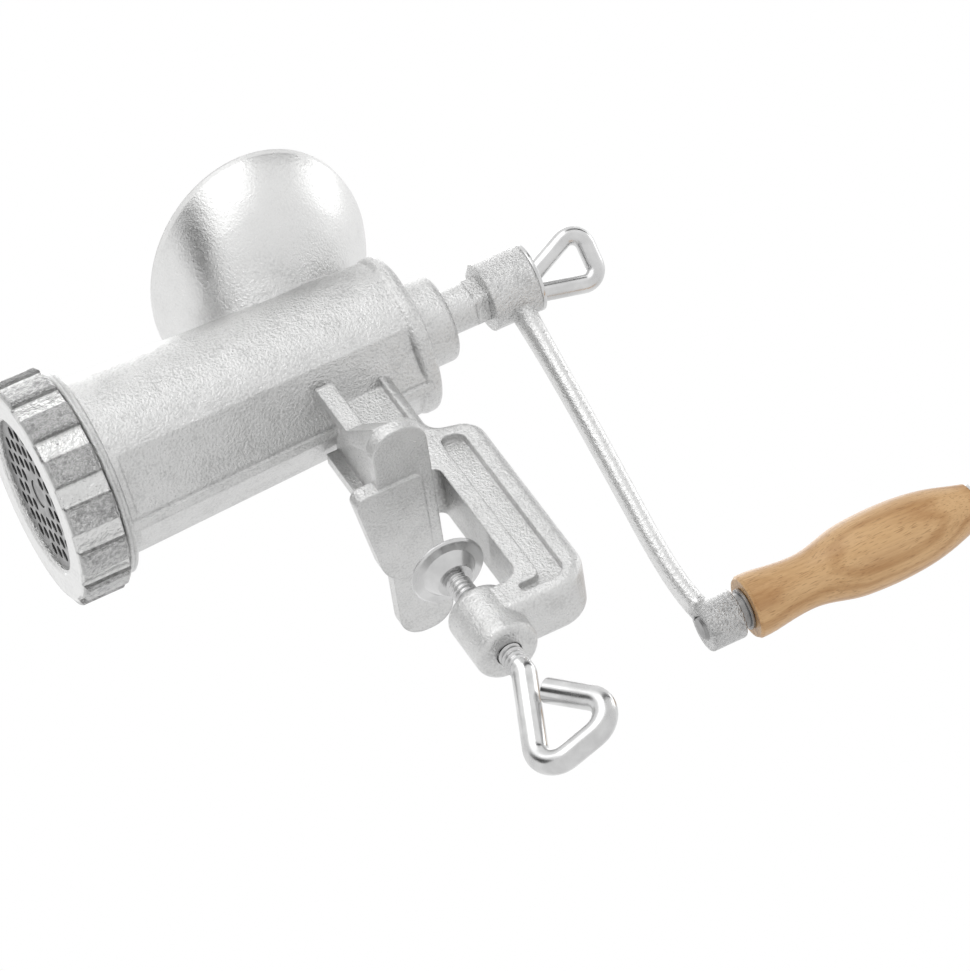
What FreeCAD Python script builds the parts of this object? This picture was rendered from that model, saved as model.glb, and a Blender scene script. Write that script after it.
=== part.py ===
import FreeCAD, Part
import math
import os
from FreeCAD import Vector

# Hand crank meat grinder with a table clamp, millimetres.
# The origin lies on the clamp screw's axis, in the plane of the upper jaw's
# table face. +Z points up, +X runs back along the barrel to the crank.

# Driving dimensions: places
axis_height = 85.0          # barrel axis above the jaw's table face
front_reach = 103.5         # clamp axis to the ring nut's front face
barrel_back_reach = 39.7    # clamp axis to the barrel's rear face

# Driving dimensions: ring nut, plate and knife
ring_length = 18.0
ring_lip = 2.2
ring_lip_chamfer = 1.0
ring_opening_r = 27.8
ring_wall = 2.55            # between the thread bore and the valleys
ring_lobe_rise = 2.9
ring_lobes = 14
ring_lobe_share = 0.46      # part of each pitch angle that a lobe takes
ring_foot_share = 1.35      # lobe's foot over its crown
plate_r = 31.0
plate_thickness = 5.5
plate_seat_depth = 4.0      # how far the plate sinks into the barrel's mouth
plate_hole_r = 2.3
plate_hole_pitch = 6.3
plate_rim = 5.0             # blank rim outside the holes
plate_hub_r = 7.4           # blank middle inside the holes
plate_pin_r = 1.5
plate_pin_stand = 1.9       # how far the pin stands into the plate's notch
knife_thickness = 7.0
knife_hub_r = 11.0
knife_reach = 25.0
knife_arm_width = 10.0
knife_bevel = 2.4
knife_elbow = 0.55          # where an arm bends, over its reach
knife_tip = 0.97            # where its end lies, over its reach
knife_sweep = 0.2           # trailing edge at the tip, over the half width
knife_taper = 0.1           # how much the arm narrows at its bend
stud_square = 9.6
stud_pilot_r = 4.7
stud_root_r = 4.7
stud_root_length = 14.0
stud_pilot_stand = 0.4      # pilot end inside the plate's front face

# Driving dimensions: barrel and its rear bearing
thread_crest_r = 35.0
thread_depth = 1.3
thread_pitch = 3.0
thread_foot_share = 0.44    # half of a ridge's foot over the pitch, on every thread
thread_crown_share = 0.08   # half of a ridge's crown over the pitch
collar_r = 37.3
collar_width = 3.4
collar_groove = 0.7
collar_notch = 0.42         # half width and depth of the collar's middle groove
barrel_front_r = 32.2
barrel_back_r = 27.8
barrel_back_round = 4.0
back_rim_rise = 0.9         # bead round the barrel's rear end
back_rim_width = 7.0
back_rim_round = 2.6
bore_front_r = 26.6
bore_back_r = 22.6
back_wall = 5.0
flat_angle = 27.0           # middle of each lower flat, from straight down
flat_share = 0.935          # flat's distance from the axis over the barrel radius
rib_width = 3.5
rib_rise = 1.2
bearing_r = 15.8
bearing_length = 13.5
bearing_round = 2.5

# Driving dimensions: hopper
hopper_x = 10.2
hopper_rise = 57.5          # rim above the barrel axis
hopper_half_x = 40.6
hopper_half_y = 52.5
hopper_lip = 2.6
hopper_wall = 4.0
hopper_neck_r = 20.5
throat_r = 16.5
throat_shift = 12.5         # how far the neck lies in front of the rim's middle
# Outline of the dish: share of its depth, share of its spread past the neck
hopper_profile = [(0.14, 0.93), (0.27, 0.80), (0.40, 0.62), (0.52, 0.40), (0.64, 0.18), (0.80, 0.0)]

# Driving dimensions: worm
journal_r = 8.05
worm_root_front_r = 10.5
worm_root_back_r = 13.0
flight_thickness = 5.0
flight_foot_share = 1.4     # flight's foot over its thickness
flight_crest_share = 0.8    # flight's crest over its thickness
flight_sink = 3.2           # how deep the flight is rooted in the core
flight_overrun = 4.0        # how far it is drawn past the bore before it is turned down
flight_pitch = 31.0
thrust_washer_thickness = 1.5
thrust_washer_r = 14.0

# Driving dimensions: leg, jaw and C frame
leg_front_x = -5.5
leg_plate = 6.5
leg_half_width = 18.0
leg_back_x = 22.0
leg_flare_start = 36.0
leg_flare_end = 11.0
leg_flare_half = 40.0
leg_recess = 4.0
leg_recess_edge = 4.6
leg_web_inset = 0.5         # web starts just behind the channel floor
jaw_thickness = 5.0
jaw_pad_rise = 0.8
jaw_pad_half = 22.5
jaw_near_round = 4.0        # front corners of the pad
jaw_far_round = 12.0
jaw_front_near_x = -20.0    # front edge slants from the near side to the far side
jaw_front_far_x = -12.5
jaw_pad_back_x = 5.5
jaw_ear_x = -0.5
jaw_ear_half = 10.0
jaw_ear_round = 0.9         # ear's corner radius over its half width
jaw_span_half = 48.0
jaw_shift = 2.4             # ears lie a little towards +Y
frame_half_width = 10.5
frame_inner_x = 15.5
frame_outer_x = 37.4
frame_shoulder_z = 25.5
frame_neck_z = 11.0
frame_arm_top_z = -48.5
frame_arm_bottom_z = -61.0
frame_bead = 4.2
frame_inner_bead = 6.0      # bead along the frame's opening
frame_outer_bead = 7.5      # bead along the frame's back
frame_arm_bead = 5.0        # bead under the lower arm
frame_arm_lip = 3.4         # bead over the lower arm
frame_arm_land = 1.6        # from the clamp boss to the pocket's end
frame_arm_pocket_round = 1.2
frame_pocket = 3.2
frame_rim_round = 3.6
frame_inner_round = 6.0
frame_outer_round = 13.0
frame_top_round = 9.0
boss_r = 11.4
boss_top_z = -45.0
boss_bottom_z = -69.0
boss_round = 2.5

# Driving dimensions: clamp screw and pad
rod_r = 4.3
rod_thread_depth = 0.7
rod_thread_pitch = 2.0
pad_z = -23.0               # pad rim's upper face in the rest pose
pad_r = 13.3
pad_thickness = 1.8
pad_hub_height = 5.0
pad_hub_r = 6.4
pad_hub_foot_r = 9.6
pad_rivet_r = 6.0
pad_rivet_height = 1.6
rod_tail = 10.5             # threaded rod below the boss in the rest pose
clamp_wire_r = 4.35
clamp_loop_height = 38.8
clamp_loop_left = 16.6
clamp_loop_right = 21.8
clamp_loop_meet = 0.13      # where the free end points, as a share of the first side
clamp_loop_bend = 8.0
clamp_loop_turn = -23.0
bend_run_share = 0.9        # most of a straight run that a wire bend may take

# Driving dimensions: crank
crank_angle = 25.0          # arm from straight down towards +Y
crank_radius = 140.6
crank_offset = 9.4          # end boss behind the hub along the shaft
hub_gap = 15.9              # bearing end face to the hub's near face
hub_length = 17.5
hub_r = 12.4
hub_flat = 11.6
shaft_square = 12.6
arm_width = 7.6
arm_depth = 9.4
arm_offset = 2.4
# Arm from hub to end boss: share of the radius, then shares of offset, width and depth
arm_stations = [
    (0.03, 0.62, 1.20, 1.30),
    (0.10, 0.74, 1.12, 1.22),
    (0.20, 0.87, 1.04, 1.08),
    (0.40, 1.00, 1.00, 1.00),
    (0.65, 0.94, 0.98, 0.96),
    (0.82, 1.05, 1.00, 0.96),
    (0.92, 1.75, 1.06, 1.00),
    (0.985, 2.90, 1.16, 1.10),
]
end_boss_r = 8.9
end_boss_length = 13.0
end_boss_round = 0.8
crank_washer_r = 12.5
crank_washer_thickness = 1.6
crank_washer_round = 0.55
crank_wire_r = 3.4
crank_screw_r = 3.9
crank_screw_reach = 16.0
crank_screw_runout = 2.0     # tapped hole past the screw's end
crank_screw_depth = 0.7
crank_screw_pitch = 1.25
crank_loop_height = 22.6
crank_loop_left = 10.5
crank_loop_right = 11.2
crank_loop_meet = -0.41     # where the free end points, as a share of the first side
crank_loop_bend = 5.2
crank_loop_turn = -47.0     # loop's wide side, from +Y towards -Z

# Driving dimensions: grip
spindle_r = 3.9
spindle_tail_r = 4.6
spindle_peen = 0.9
spindle_peen_r = 3.7
spindle_shoulder_r = 6.3
spindle_shoulder = 2.6
spindle_head_r = 5.6
spindle_head = 3.0
spindle_head_rim = 1.2
spindle_crown = 0.9
spindle_crown_r = 1.7
grip_washer_thickness = 1.0
grip_washer_r = 7.4
grip_length = 88.0
grip_near_r = 11.5
grip_waist_r = 9.9
grip_belly_r = 13.8
grip_far_r = 7.9
grip_edge = 0.8
# Grip outline: place over the length, then how far from one radius to the next
grip_flare = [(0.012, 0.0), (0.035, 0.0), (0.14, 0.65), (0.20, 1.0)]
grip_swell = [(0.28, 0.0), (0.36, 0.36), (0.44, 0.78), (0.52, 0.95), (0.61, 1.0)]
grip_taper = [(0.70, 0.05), (0.79, 0.20), (0.88, 0.49), (0.96, 0.84), (1.0, 1.0)]

# Clearances
running_fit = 0.05
sliding_fit = 0.1
seat_gap = 0.05
thread_gap = 0.35
worm_gap = 0.6
pilot_gap = 0.45
grip_fit = 0.3
wire_end_gap = 0.5
cut_past = 1.0              # how far a cut runs past the face that it opens

# Places that follow from the sizes above
axis_z = axis_height
ring_front_x = -front_reach
ring_back_x = ring_front_x + ring_length
plate_front_x = ring_front_x + ring_lip
plate_back_x = plate_front_x + plate_thickness
mouth_x = plate_back_x - plate_seat_depth
collar_front_x = ring_back_x + 2 * thread_gap
collar_back_x = collar_front_x + collar_width
knife_front_x = plate_back_x + seat_gap
knife_back_x = knife_front_x + knife_thickness
worm_front_x = knife_back_x
bore_back_x = barrel_back_reach - back_wall
thrust_front_x = bore_back_x - thrust_washer_thickness
bearing_back_x = barrel_back_reach + bearing_length
hub_front_x = bearing_back_x + hub_gap
hub_back_x = hub_front_x + hub_length
washer_back_x = hub_back_x + crank_washer_thickness
thread_root_r = thread_crest_r - thread_depth
ring_bore_r = thread_crest_r + thread_gap
ring_valley_r = ring_bore_r + ring_wall
ring_lobe_r = ring_valley_r + ring_lobe_rise
mouth_r = plate_r + sliding_fit
hopper_rim_z = axis_z + hopper_rise
end_boss_x = (hub_front_x + hub_back_x) / 2 + crank_offset
end_boss_front_x = end_boss_x - end_boss_length / 2
end_boss_back_x = end_boss_x + end_boss_length / 2
shoulder_back_x = end_boss_back_x + spindle_shoulder
grip_front_x = shoulder_back_x + grip_washer_thickness + grip_fit
grip_back_x = grip_front_x + grip_length
end_washer_x = grip_back_x + grip_fit
head_x = end_washer_x + grip_washer_thickness
rod_top_z = pad_z + pad_rivet_height
tail_z = boss_bottom_z - rod_tail

ALONG_X = Vector(1, 0, 0)
ALONG_Y = Vector(0, 1, 0)
ALONG_Z = Vector(0, 0, 1)


def export(name, shape):
    """Write one node after tidying its faces."""
    shape = shape.removeSplitter()
    solids = shape.Solids
    print(name, len(solids), shape.isValid(), round(shape.Volume, 1))
    if len(solids) == 1:
        shape = solids[0]
    shape.exportStep("parts/" + name + ".step")


def rod_x(radius, start, end, height=axis_z, side=0.0):
    """Round bar along X from start to end."""
    return Part.makeCylinder(radius, end - start, Vector(start, side, height), ALONG_X)


def cone_x(start_r, end_r, start, end):
    """Cone along the barrel axis."""
    return Part.makeCone(start_r, end_r, end - start, Vector(start, 0, axis_z), ALONG_X)


def turn_profile(points, height=axis_z, side=0.0):
    """Solid of revolution about an X axis from (x, radius) points."""
    corners = [Vector(x, side, height + r) for x, r in points]
    corners.append(corners[0])
    return Part.Face(Part.makePolygon(corners)).revolve(Vector(0, side, height), ALONG_X, 360)


def rounded_outline(points, place):
    """Closed wire through (a, b, radius) corners; place maps (a, b) to space."""
    count = len(points)
    edges = []
    joins = []
    for i in range(count):
        a, b, radius = points[i]
        here = Vector(a, b, 0)
        before = Vector(points[i - 1][0], points[i - 1][1], 0)
        after = Vector(points[(i + 1) % count][0], points[(i + 1) % count][1], 0)
        if radius <= 0:
            joins.append((here, None, here))
            continue
        to_before = (before - here).normalize()
        to_after = (after - here).normalize()
        half = to_before.getAngle(to_after) / 2
        run = radius / math.tan(half)
        middle = (to_before + to_after).normalize()
        bulge = here + middle * (radius / math.sin(half) - radius)
        joins.append((here + to_before * run, bulge, here + to_after * run))
    for i in range(count):
        start, bulge, end = joins[i]
        if bulge is not None:
            arc = Part.Arc(place(start.x, start.y), place(bulge.x, bulge.y), place(end.x, end.y))
            edges.append(arc.toShape())
        following = joins[(i + 1) % count][0]
        if (following - end).Length > 1e-6:
            edges.append(Part.makeLine(place(end.x, end.y), place(following.x, following.y)))
    return Part.Wire(edges)


def slab_xz(points, low_y, high_y):
    """Plate with an outline in the XZ plane, between two Y values."""
    wire = rounded_outline(points, lambda x, z: Vector(x, low_y, z))
    return Part.Face(wire).extrude(Vector(0, high_y - low_y, 0))


def slab_xy(points, low_z, high_z):
    """Plate with an outline in the XY plane, between two Z values."""
    wire = rounded_outline(points, lambda x, y: Vector(x, y, low_z))
    return Part.Face(wire).extrude(Vector(0, 0, high_z - low_z))


def slab_yz(points, low_x, high_x):
    """Plate with an outline in the YZ plane, between two X values."""
    wire = rounded_outline(points, lambda y, z: Vector(low_x, y, z))
    return Part.Face(wire).extrude(Vector(high_x - low_x, 0, 0))


def screw_thread(crest_r, depth, pitch, length, plain=0.0):
    """Helical thread on its core, from z = 0 up to length, with a plain start below."""
    root_r = crest_r - depth
    sink = depth / 2
    foot = pitch * thread_foot_share
    crown = pitch * thread_crown_share
    corners = [
        Vector(root_r - sink, 0, -foot),
        Vector(crest_r, 0, -crown),
        Vector(crest_r, 0, crown),
        Vector(root_r - sink, 0, foot),
    ]
    corners.append(corners[0])
    helix = Part.makeHelix(pitch, length - 2 * foot, root_r)
    ridge = Part.Wire(helix).makePipeShell([Part.makePolygon(corners)], True, True)
    ridge.translate(Vector(0, 0, foot))
    core = Part.makeCylinder(root_r, length + plain, Vector(0, 0, -plain))
    return core.fuse(ridge)


def point_x(shape, start, height=axis_z, side=0.0):
    """Turn a shape built up along +Z so that it runs along +X from start."""
    shape.rotate(Vector(0, 0, 0), ALONG_Y, 90)
    shape.translate(Vector(start, side, height))
    return shape


def loop_end(start_z, height, left, right, meet, wire_r):
    """Where the loop's free end stops, just clear of the first side."""
    first = Vector(-left, 0, -height)
    aim = first * meet
    corner = Vector(right, 0, -height)
    heading = (aim - corner).normalize()
    turn = heading.getAngle(first * -1.0)
    back = (wire_r + wire_end_gap + wire_r * math.cos(turn)) / math.sin(turn)
    stop = aim - heading * back
    return stop.x, start_z + stop.z


def wire_loop(start_z, shank, height, left, right, meet, bend, wire_r):
    """Bent wire: a shank at start_z that opens into a triangle downwards."""
    low_z = start_z - height
    points = [
        (0.0, start_z + shank),
        (0.0, start_z),
        (-left, low_z),
        (right, low_z),
        loop_end(start_z, height, left, right, meet, wire_r),
    ]
    radii = [0.0, bend, bend, bend, 0.0]
    edges = []
    last = Vector(points[0][0], 0, points[0][1])
    for i in range(1, len(points)):
        here = Vector(points[i][0], 0, points[i][1])
        if i == len(points) - 1:
            edges.append(Part.makeLine(last, here))
            break
        before = Vector(points[i - 1][0], 0, points[i - 1][1])
        after = Vector(points[i + 1][0], 0, points[i + 1][1])
        to_before = (before - here).normalize()
        to_after = (after - here).normalize()
        half = to_before.getAngle(to_after) / 2
        run = radii[i] / math.tan(half)
        run = min(run, (before - here).Length * bend_run_share)
        radius = run * math.tan(half)
        middle = (to_before + to_after).normalize()
        bulge = here + middle * (radius / math.sin(half) - radius)
        start = here + to_before * run
        end = here + to_after * run
        if (start - last).Length > 1e-6:
            edges.append(Part.makeLine(last, start))
        edges.append(Part.Arc(start, bulge, end).toShape())
        last = end
    path = Part.Wire(edges)
    section = Part.Wire(Part.makeCircle(wire_r, Vector(0, 0, start_z + shank), ALONG_Z))
    return path.makePipeShell([section], True, False)


def barrel_radius(x):
    """Outer radius of the tapered barrel at x."""
    share = (x - collar_back_x) / (barrel_back_reach - collar_back_x)
    return barrel_front_r + (barrel_back_r - barrel_front_r) * share


def bore_radius(x):
    """Radius of the tapered bore at x."""
    share = (x - mouth_x) / (bore_back_x - mouth_x)
    return bore_front_r + (bore_back_r - bore_front_r) * share


def hopper_sections(inset, bottom_r, bottom_z):
    """Oval loft from the rim down to the throat, drawn in by inset."""
    wires = []
    for depth, share in [(hopper_lip / hopper_rise, 1.0)] + hopper_profile:
        z = hopper_rim_z - hopper_rise * depth
        half_x = bottom_r + (hopper_half_x - inset - bottom_r) * share
        half_y = bottom_r + (hopper_half_y - inset - bottom_r) * share
        wires.append(oval(half_x, half_y, z, throat_shift * (1.0 - share)))
    wires.append(oval(bottom_r, bottom_r, bottom_z, throat_shift))
    return wires


def oval(half_x, half_y, z, shift=0.0):
    """Oval wire with its long way along Y, moved forward by shift."""
    half_y = max(half_y, half_x + 1e-3)
    middle = Vector(hopper_x - shift, 0, z)
    ellipse = Part.Ellipse(middle + Vector(0, half_y, 0), middle + Vector(half_x, 0, 0), middle)
    return Part.Wire(ellipse.toShape())


def make_hopper():
    """Oval dish with its neck, and the hollow that is cut from it."""
    inset = hopper_wall
    dish = Part.makeLoft(hopper_sections(0.0, hopper_neck_r, axis_z), True, False)
    rim = Part.Face(oval(hopper_half_x, hopper_half_y, hopper_rim_z - hopper_lip))
    outer = dish.fuse(rim.extrude(Vector(0, 0, hopper_lip)))
    inner = Part.makeLoft(hopper_sections(inset, throat_r, axis_z), True, False)
    mouth = Part.Face(oval(hopper_half_x - inset, hopper_half_y - inset, hopper_rim_z - hopper_lip))
    return outer, inner.fuse(mouth.extrude(Vector(0, 0, 2 * hopper_lip)))


def make_barrel():
    """Tapered barrel with its front thread, collar, flats, rib and rear bearing."""
    shell = cone_x(barrel_front_r, barrel_back_r, collar_back_x, barrel_back_reach)
    shell = shell.makeFillet(barrel_back_round, [shell.Edges[i] for i in back_edges(shell)])
    for side in (-1, 1):
        shell = shell.cut(lower_flat(side))
    spigot = screw_thread(thread_crest_r, thread_depth, thread_pitch, collar_back_x - mouth_x)
    point_x(spigot, mouth_x)
    groove_x = collar_front_x + collar_width / 2
    collar = turn_profile([
        (collar_front_x, 0.0),
        (collar_front_x, collar_r - collar_groove),
        (collar_front_x + collar_groove, collar_r),
        (groove_x - collar_notch, collar_r),
        (groove_x, collar_r - collar_notch),
        (groove_x + collar_notch, collar_r),
        (collar_back_x - collar_groove, collar_r),
        (collar_back_x, collar_r - collar_groove),
        (collar_back_x, 0.0),
    ])
    rim = rod_x(barrel_back_r + back_rim_rise, barrel_back_reach - back_rim_width, barrel_back_reach)
    rim = rim.makeFillet(back_rim_round, [e for e in rim.Edges if e.BoundBox.XLength < 1e-3])
    rib = make_rib()
    boss = rod_x(bearing_r, barrel_back_reach - back_wall, bearing_back_x)
    boss = boss.makeFillet(bearing_round, [boss.Edges[i] for i in back_edges(boss)])
    return shell.fuse([spigot, collar, rim, rib, boss])


def back_edges(shape):
    """Indices of the round edges at the shape's rearmost face."""
    back = shape.BoundBox.XMax
    found = []
    for i, edge in enumerate(shape.Edges):
        box = edge.BoundBox
        if box.XMax - box.XMin < 1e-3 and abs(box.XMax - back) < 1e-3:
            found.append(i)
    return found


def lower_flat(side):
    """Block that cuts one of the two flats along the barrel's underside."""
    start = collar_back_x + collar_width
    end = barrel_back_reach - barrel_back_round
    outside = barrel_front_r * 2
    corners = [
        Vector(start, -outside, -barrel_radius(start) * flat_share),
        Vector(end, -outside, -barrel_radius(end) * flat_share),
        Vector(end, -outside, -outside),
        Vector(start, -outside, -outside),
    ]
    corners.append(corners[0])
    block = Part.Face(Part.makePolygon(corners)).extrude(Vector(0, 2 * outside, 0))
    block.rotate(Vector(0, 0, 0), ALONG_X, side * flat_angle)
    block.translate(Vector(0, 0, axis_z))
    return block


def make_rib():
    """Raised rib along the barrel's underside."""
    start = collar_back_x
    end = barrel_back_reach - barrel_back_round
    corners = [
        Vector(start, -rib_width / 2, axis_z - barrel_radius(start) - rib_rise),
        Vector(end, -rib_width / 2, axis_z - barrel_radius(end) - rib_rise),
        Vector(end, -rib_width / 2, axis_z - bore_radius(end) - rib_rise),
        Vector(start, -rib_width / 2, axis_z - bore_radius(start) - rib_rise),
    ]
    corners.append(corners[0])
    return Part.Face(Part.makePolygon(corners)).extrude(Vector(0, rib_width, 0))


def make_leg():
    """Front plate that flares out to the jaw's ears, with its sunk face."""
    top_z = axis_z - bore_back_r - back_wall / 2
    jaw_top_z = jaw_pad_rise + jaw_thickness / 2
    half = [
        (leg_half_width, top_z),
        (leg_half_width, leg_flare_start),
        (leg_flare_half, leg_flare_end),
        (leg_flare_half, jaw_top_z),
    ]
    outline = [(y, z, 0.0) for y, z in half] + [(-y, z, 0.0) for y, z in reversed(half)]
    plate = slab_yz(outline, leg_front_x, leg_front_x + leg_plate)
    edge = leg_recess_edge
    inner = [
        (leg_half_width - edge, top_z, 0.0),
        (leg_half_width - edge, leg_flare_start - edge / 2, edge),
        (leg_flare_half - 2 * edge, jaw_pad_rise + jaw_thickness, 0.0),
        (2 * edge - leg_flare_half, jaw_pad_rise + jaw_thickness, 0.0),
        (edge - leg_half_width, leg_flare_start - edge / 2, edge),
        (edge - leg_half_width, top_z, 0.0),
    ]
    recess = slab_yz(inner, leg_front_x, leg_front_x + leg_recess)
    return plate.cut(recess)


def make_frame():
    """Leg web and C frame: beaded outline with sunk sides."""
    top_z = axis_z - bore_back_r - back_wall / 2
    outline = [
        (leg_front_x + leg_recess + leg_web_inset, top_z, 0.0),
        (leg_front_x + leg_recess + leg_web_inset, jaw_pad_rise + jaw_thickness / 2, 0.0),
        (jaw_pad_back_x, jaw_pad_rise + jaw_thickness / 2, 0.0),
        (jaw_pad_back_x, frame_neck_z, 0.0),
        (frame_inner_x, frame_neck_z, frame_inner_round / 2),
        (frame_inner_x, frame_arm_top_z, frame_inner_round),
        (0.0, frame_arm_top_z, 0.0),
        (0.0, frame_arm_bottom_z, 0.0),
        (frame_outer_x, frame_arm_bottom_z, frame_outer_round),
        (frame_outer_x, frame_shoulder_z, frame_top_round),
        (leg_back_x, frame_shoulder_z + frame_bead, frame_inner_round),
        (leg_back_x, top_z, 0.0),
    ]
    body = slab_xz(outline, -frame_half_width, frame_half_width)
    body = body.makeFillet(frame_rim_round, [e for e in body.Edges if is_outer_rim(e)])
    web_inner_x = frame_inner_x + frame_inner_bead
    web_outer_x = frame_outer_x - frame_outer_bead
    web_end_x = boss_r + frame_arm_land
    web_low_z = frame_arm_bottom_z + frame_arm_bead
    web_arm_z = frame_arm_top_z - frame_arm_lip
    web = [
        (web_inner_x, frame_shoulder_z - frame_bead / 2, frame_inner_round / 2),
        (web_outer_x, frame_shoulder_z - frame_bead, frame_top_round / 2),
        (web_outer_x, web_low_z, frame_outer_round - frame_outer_bead),
        (web_end_x, web_low_z, frame_arm_pocket_round),
        (web_end_x, web_arm_z, frame_arm_pocket_round),
        (web_inner_x, web_arm_z, frame_inner_round / 2),
    ]
    gusset = [
        (leg_front_x + leg_plate, top_z, 0.0),
        (leg_front_x + leg_plate, frame_neck_z + frame_bead * 2, frame_inner_round / 2),
        (leg_back_x - frame_bead, frame_neck_z + frame_bead * 3, frame_inner_round / 2),
        (leg_back_x - frame_bead, top_z, 0.0),
    ]
    for side in (-1, 1):
        low = frame_half_width - frame_pocket if side > 0 else -frame_half_width - cut_past
        high = frame_half_width + cut_past if side > 0 else frame_pocket - frame_half_width
        body = body.cut([slab_xz(web, low, high), slab_xz(gusset, low, high)])
    return body


def is_outer_rim(edge):
    """True for the side edges along the frame's outer outline."""
    box = edge.BoundBox
    on_side = abs(abs(box.YMin) - frame_half_width) < 1e-3 and box.YMax - box.YMin < 1e-3
    middle = edge.valueAt((edge.FirstParameter + edge.LastParameter) / 2)
    behind = middle.x > leg_back_x - 1e-3
    below = middle.z < frame_arm_bottom_z + 1e-3
    return on_side and (behind or below)


def make_jaw():
    """Flat jaw with a proud middle pad and two rounded ears."""
    low_x = jaw_ear_x - jaw_ear_half
    high_x = jaw_ear_x + jaw_ear_half
    ears = slab_xy([
        (low_x, jaw_shift - jaw_span_half, jaw_ear_half * jaw_ear_round),
        (high_x, jaw_shift - jaw_span_half, jaw_ear_half * jaw_ear_round),
        (high_x, jaw_shift + jaw_span_half, jaw_ear_half * jaw_ear_round),
        (low_x, jaw_shift + jaw_span_half, jaw_ear_half * jaw_ear_round),
    ], jaw_pad_rise, jaw_pad_rise + jaw_thickness)
    pad = slab_xy([
        (jaw_front_near_x, -jaw_pad_half, jaw_near_round),
        (jaw_pad_back_x, -jaw_pad_half, jaw_ear_half / 4),
        (jaw_pad_back_x, jaw_pad_half, jaw_ear_half / 4),
        (jaw_front_far_x, jaw_pad_half, jaw_far_round),
    ], 0.0, jaw_pad_rise + jaw_thickness)
    return ears.fuse(pad)


def make_boss():
    """Round clamp boss at the end of the frame's lower arm."""
    boss = Part.makeCylinder(boss_r, boss_top_z - boss_bottom_z, Vector(0, 0, boss_bottom_z))
    rims = [e for e in boss.Edges if abs(e.BoundBox.ZMax - e.BoundBox.ZMin) < 1e-3]
    return boss.makeFillet(boss_round, rims)


def make_body():
    """The whole casting with its hollows."""
    hopper, hopper_hollow = make_hopper()
    body = make_barrel().fuse([make_leg(), make_frame(), make_jaw(), make_boss(), hopper])
    bore = cone_x(bore_radius(mouth_x), bore_radius(bore_back_x), mouth_x, bore_back_x)
    mouth = rod_x(mouth_r, mouth_x - ring_lip, mouth_x + plate_seat_depth)
    bearing = rod_x(journal_r + running_fit, bore_back_x - back_wall, bearing_back_x + back_wall)
    clamp_bore = Part.makeCylinder(rod_r + thread_gap, boss_top_z - boss_bottom_z + 2 * boss_round,
                                   Vector(0, 0, boss_bottom_z - boss_round))
    pin_hole = plate_pin_shape()
    return body.cut([bore, mouth, bearing, clamp_bore, hopper_hollow, pin_hole])


def plate_pin_shape():
    """Radial pin in the top of the barrel's mouth."""
    middle_x = mouth_x + plate_seat_depth / 2
    low_r = mouth_r - plate_pin_stand
    high_r = (mouth_r + thread_root_r) / 2
    base = Vector(middle_x, 0, axis_z + low_r)
    return Part.makeCylinder(plate_pin_r, high_r - low_r, base, ALONG_Z)


def make_plate():
    """Grinding plate with round holes, a centre hole and a key notch."""
    disc = rod_x(plate_r, plate_front_x, plate_back_x)
    cut_start = plate_front_x - cut_past
    cut_end = plate_back_x + cut_past
    holes = [rod_x(stud_pilot_r + pilot_gap, cut_start, cut_end)]
    rows = int(plate_r / plate_hole_pitch) + 1
    step = plate_hole_pitch * math.sqrt(3) / 2
    for row in range(-rows, rows + 1):
        for column in range(-2 * rows, 2 * rows + 1):
            y = (column + (row % 2) / 2) * plate_hole_pitch
            z = row * step
            reach = math.hypot(y, z)
            if plate_hub_r + plate_hole_r < reach < plate_r - plate_rim - plate_hole_r:
                holes.append(rod_x(plate_hole_r, cut_start, cut_end, axis_z + z, y))
    notch_half = plate_pin_r + sliding_fit * 2
    notch_depth = plate_pin_stand + sliding_fit * 4
    notch = Part.makeBox(plate_thickness + 2 * cut_past, 2 * notch_half, 2 * notch_depth,
                         Vector(plate_front_x + plate_thickness - plate_seat_depth - cut_past, -notch_half,
                                axis_z + plate_r - notch_depth))
    return disc.cut(holes + [notch])


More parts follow.
